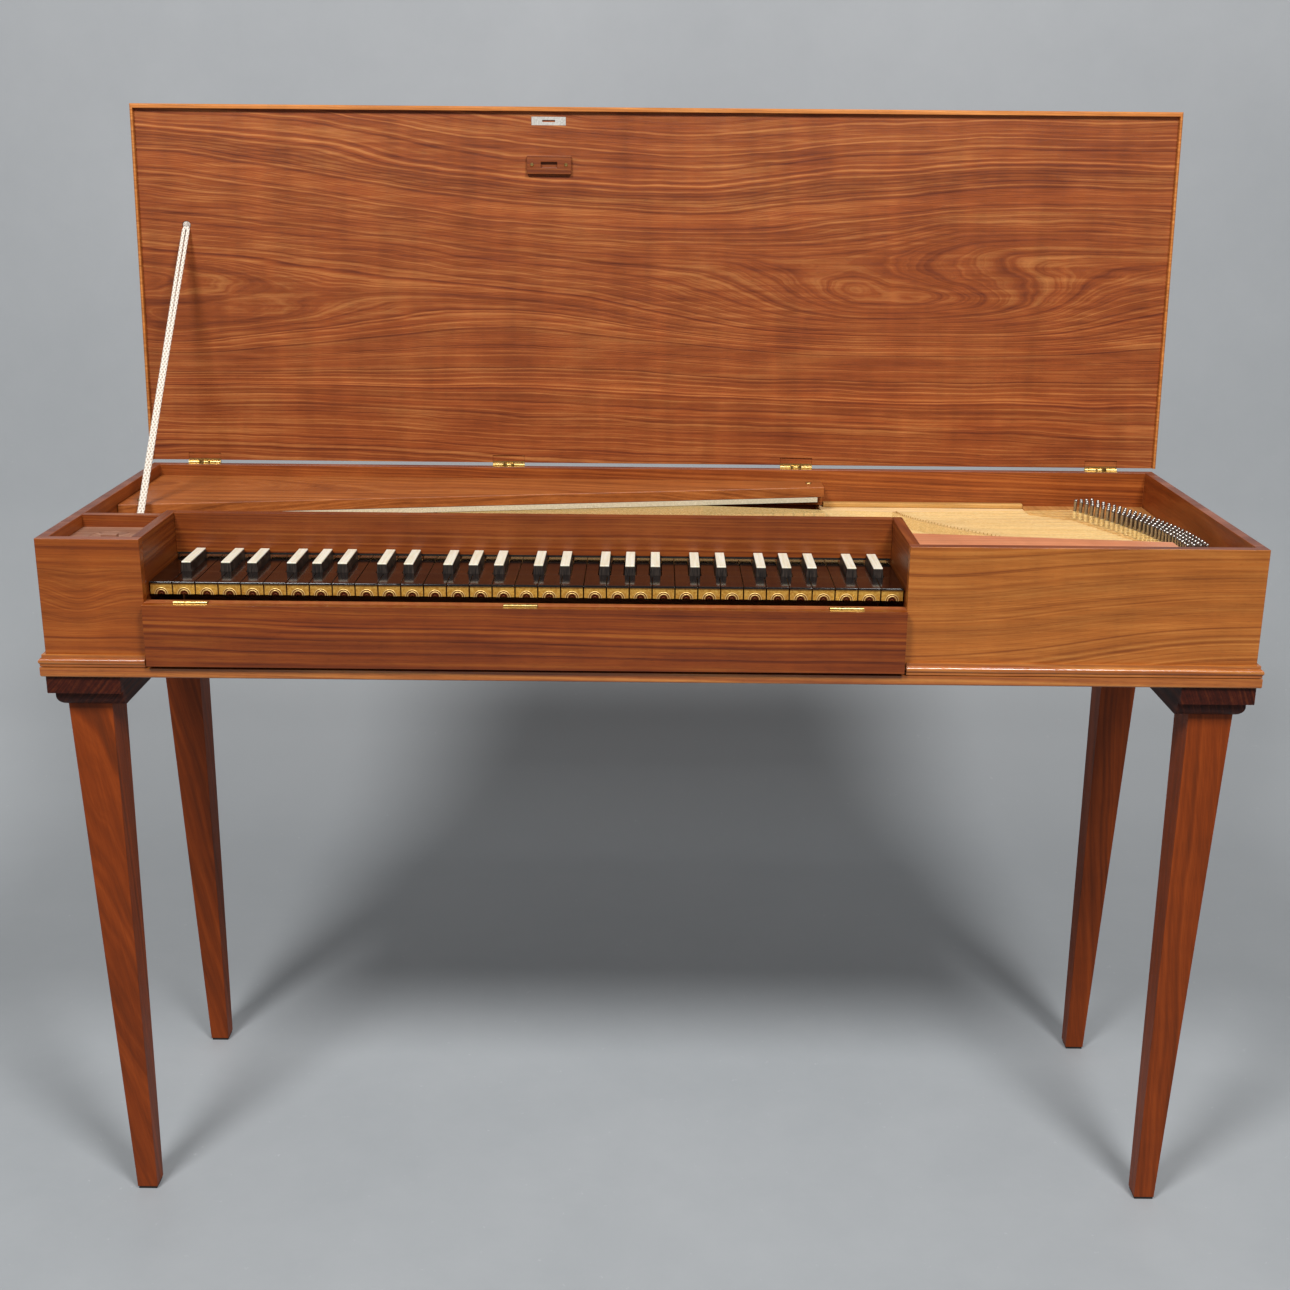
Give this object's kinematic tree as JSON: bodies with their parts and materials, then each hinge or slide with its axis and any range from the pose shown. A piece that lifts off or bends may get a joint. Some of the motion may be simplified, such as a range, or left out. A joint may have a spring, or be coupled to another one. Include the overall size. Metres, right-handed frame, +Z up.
{
  "type": "clavichord",
  "caption": "Clavichord on four tapered legs: oblong case with open lid, drop-front fall, full keyboard with arcaded key fronts, oblique strings and a cord lid stay.",
  "frame": {"origin": "on the floor under the middle of the open instrument's bounding box", "axes": "+X towards the treble end, +Y towards the spine and the hinged side of the lid, +Z up"},
  "size_m": [1.2314, 0.4563, 1.1794],
  "materials": {
    "walnut": "french-polished walnut, satin gloss",
    "dark_walnut": "polished dark walnut",
    "lid_walnut": "figured walnut, satin gloss",
    "red_walnut": "red-brown stained walnut, satin gloss",
    "mahogany": "dark stained wood, satin",
    "beech": "bare planed wood",
    "spruce": "varnished golden spruce",
    "pink_wood": "pinkish varnished wood",
    "key_wood": "polished near-black key tops on bare levers",
    "brass": "worn polished brass",
    "steel": "tarnished steel",
    "cloth": "cream woollen listing cloth",
    "stay_cord": "white braided cotton cord",
    "foot_pad": "black pad"
  },
  "bodies": {
    "case": {"bearer_left": "mahogany", "bearer_right": "mahogany", "leg_front_left": "red_walnut", "leg_front_right": "red_walnut", "leg_rear_left": "red_walnut", "leg_rear_right": "red_walnut", "foot_pads": "foot_pad", "leg_bolts": "steel", "baseboard": "walnut", "base_moulding": "walnut", "spine": "walnut", "end_left": "walnut", "end_right": "walnut", "front_left": "walnut", "front_right": "walnut", "front_rail": "walnut", "cheek_left": "dark_walnut", "cheek_right": "dark_walnut", "nameboard": "dark_walnut", "toolbox_tray": "dark_walnut", "balance_rail": "beech", "balance_pins": "brass", "key_rack": "beech", "hitch_rail": "beech", "belly_rail": "beech", "soundboard": "spruce", "soundboard_moulding": "spruce", "bridge": "beech", "string_pins": "brass", "wrest_plank": "beech", "tuning_pins": "steel", "strings": "brass", "listing_cloth": "cloth", "over_rail": "walnut", "over_rail_screws": "steel", "front_board": "pink_wood", "case_hinge_leaves": "brass", "hinge_pins": "brass", "lid_stay": "stay_cord"},
    "lid": {"lid_panel": "lid_walnut", "lid_lipping": "walnut", "lid_hinge_leaves": "brass", "strike_plate": "steel", "slotted_block": "dark_walnut", "block_screws": "steel"},
    "fall": {"fall_board": "walnut", "fall_hinge_leaves": "brass"},
    "toolbox_lid": {"toolbox_lid": "dark_walnut"},
    "c_keys": {"c_keys": "key_wood"},
    "c_sharp_keys": {"c_sharp_keys": "key_wood"},
    "d_keys": {"d_keys": "key_wood"},
    "d_sharp_keys": {"d_sharp_keys": "key_wood"},
    "e_keys": {"e_keys": "key_wood"},
    "f_keys": {"f_keys": "key_wood"},
    "f_sharp_keys": {"f_sharp_keys": "key_wood"},
    "g_keys": {"g_keys": "key_wood"},
    "g_sharp_keys": {"g_sharp_keys": "key_wood"},
    "a_keys": {"a_keys": "key_wood"},
    "a_sharp_keys": {"a_sharp_keys": "key_wood"},
    "b_keys": {"b_keys": "key_wood"}
  },
  "joints": [
    {"name": "lid_hinge", "type": "hinge", "parent": "case", "child": "lid", "pos_m": [0, 0.18943, 0.7622], "axis": [-1, 0, 0], "range_deg": [-94, 0], "deforming": ["lid_stay"]},
    {"name": "fall_hinge", "type": "hinge", "parent": "case", "child": "fall", "pos_m": [0, -0.21837, 0.6978], "axis": [-1, 0, 0], "range_deg": [0, 180]},
    {"name": "toolbox_lid_lift", "type": "slide", "parent": "case", "child": "toolbox_lid", "axis": [0, 0, 1], "range_m": [0, 0.04]},
    {"name": "c_keys_dip", "type": "hinge", "parent": "case", "child": "c_keys", "pos_m": [0, -0.07157, 0.701], "axis": [1, 0, 0], "range_deg": [0, 1.5], "stiffness_Nm_per_rad": 1, "springref_deg": -6.88},
    {"name": "c_sharp_keys_dip", "type": "hinge", "parent": "case", "child": "c_sharp_keys", "pos_m": [0, -0.06157, 0.701], "axis": [1, 0, 0], "range_deg": [0, 1.7], "stiffness_Nm_per_rad": 1, "springref_deg": -4.58},
    {"name": "d_keys_dip", "type": "hinge", "parent": "case", "child": "d_keys", "pos_m": [0, -0.07157, 0.701], "axis": [1, 0, 0], "range_deg": [0, 1.5], "stiffness_Nm_per_rad": 1, "springref_deg": -6.88},
    {"name": "d_sharp_keys_dip", "type": "hinge", "parent": "case", "child": "d_sharp_keys", "pos_m": [0, -0.06157, 0.701], "axis": [1, 0, 0], "range_deg": [0, 1.7], "stiffness_Nm_per_rad": 1, "springref_deg": -4.58},
    {"name": "e_keys_dip", "type": "hinge", "parent": "case", "child": "e_keys", "pos_m": [0, -0.07157, 0.701], "axis": [1, 0, 0], "range_deg": [0, 1.5], "stiffness_Nm_per_rad": 1, "springref_deg": -6.88},
    {"name": "f_keys_dip", "type": "hinge", "parent": "case", "child": "f_keys", "pos_m": [0, -0.07157, 0.701], "axis": [1, 0, 0], "range_deg": [0, 1.5], "stiffness_Nm_per_rad": 1, "springref_deg": -6.88},
    {"name": "f_sharp_keys_dip", "type": "hinge", "parent": "case", "child": "f_sharp_keys", "pos_m": [0, -0.06157, 0.701], "axis": [1, 0, 0], "range_deg": [0, 1.7], "stiffness_Nm_per_rad": 1, "springref_deg": -4.58},
    {"name": "g_keys_dip", "type": "hinge", "parent": "case", "child": "g_keys", "pos_m": [0, -0.07157, 0.701], "axis": [1, 0, 0], "range_deg": [0, 1.5], "stiffness_Nm_per_rad": 1, "springref_deg": -6.88},
    {"name": "g_sharp_keys_dip", "type": "hinge", "parent": "case", "child": "g_sharp_keys", "pos_m": [0, -0.06157, 0.701], "axis": [1, 0, 0], "range_deg": [0, 1.7], "stiffness_Nm_per_rad": 1, "springref_deg": -4.58},
    {"name": "a_keys_dip", "type": "hinge", "parent": "case", "child": "a_keys", "pos_m": [0, -0.07157, 0.701], "axis": [1, 0, 0], "range_deg": [0, 1.5], "stiffness_Nm_per_rad": 1, "springref_deg": -6.88},
    {"name": "a_sharp_keys_dip", "type": "hinge", "parent": "case", "child": "a_sharp_keys", "pos_m": [0, -0.06157, 0.701], "axis": [1, 0, 0], "range_deg": [0, 1.7], "stiffness_Nm_per_rad": 1, "springref_deg": -4.58},
    {"name": "b_keys_dip", "type": "hinge", "parent": "case", "child": "b_keys", "pos_m": [0, -0.07157, 0.701], "axis": [1, 0, 0], "range_deg": [0, 1.5], "stiffness_Nm_per_rad": 1, "springref_deg": -6.88}
  ]
}
